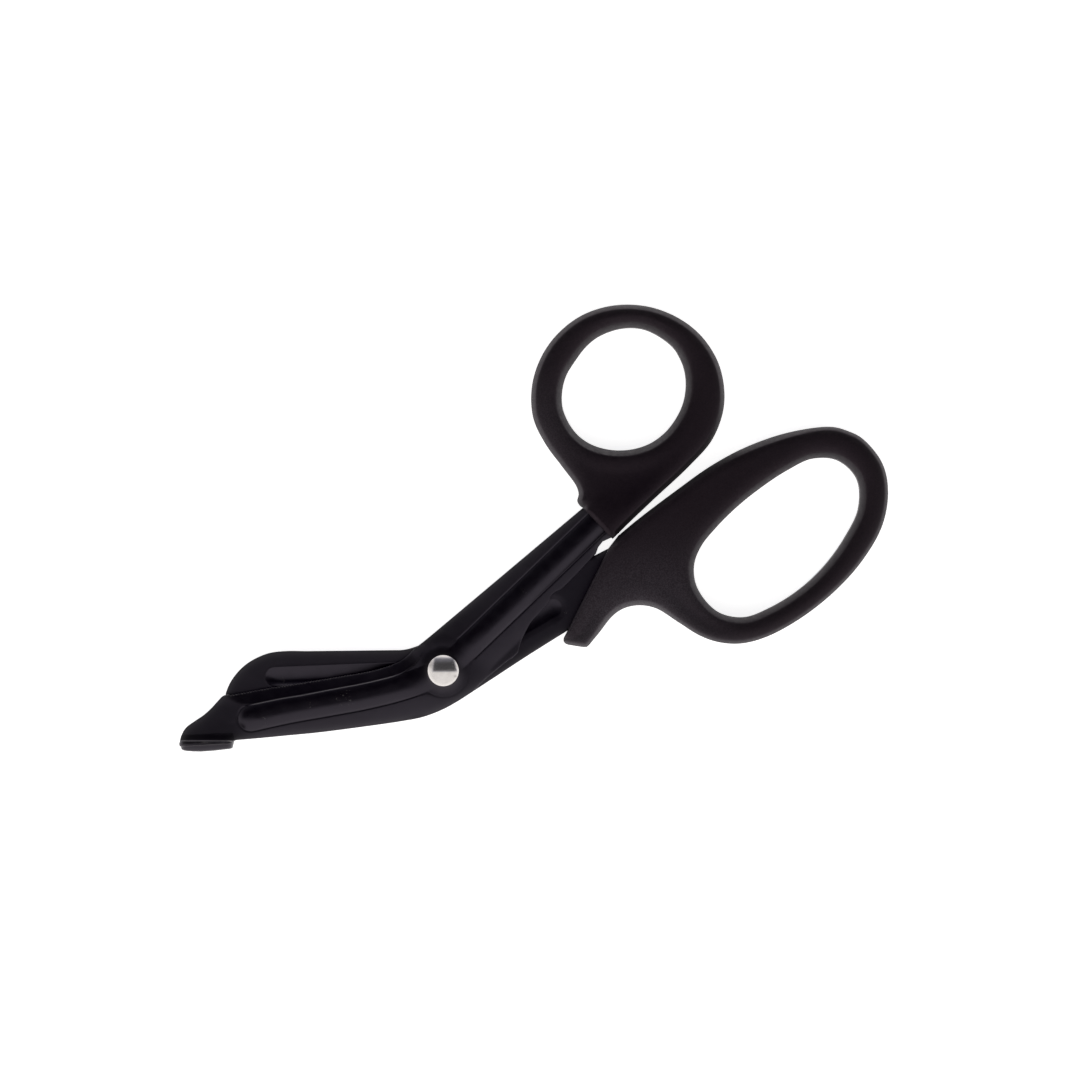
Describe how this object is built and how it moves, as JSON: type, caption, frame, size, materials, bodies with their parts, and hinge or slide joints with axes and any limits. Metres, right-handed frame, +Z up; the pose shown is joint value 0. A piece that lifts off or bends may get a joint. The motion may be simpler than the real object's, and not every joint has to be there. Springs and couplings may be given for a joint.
{
  "type": "trauma shears",
  "caption": "Safety scissors with angled ribbed blades, a blunt foot on the serrated lower blade, one rivet and two moulded finger loops.",
  "frame": {"origin": "centre of the closed scissors' footprint, on the surface they lie on", "axes": "+X from the blades to the handles, +Y towards the thumb loop, +Z up, along the rivet towards its head"},
  "size_m": [0.1901, 0.0922, 0.0121],
  "materials": {
    "coated_steel": "satin black coating on stamped steel",
    "bright_steel": "polished with a faint satin grain",
    "black_plastic": "matte black moulded plastic with a fine grain"
  },
  "bodies": {
    "thumb_lever": {"lower_blade": "coated_steel", "thumb_handle": "black_plastic", "pivot_rivet": "bright_steel", "rivet_washer": "bright_steel"},
    "finger_lever": {"upper_blade": "coated_steel", "finger_handle": "black_plastic"}
  },
  "joints": [
    {"name": "blade_pivot", "type": "hinge", "parent": "thumb_lever", "child": "finger_lever", "pos_m": [-0.02675, -0.0237, 0.005], "axis": [0, 0, -1], "range_deg": [0, 60]}
  ]
}
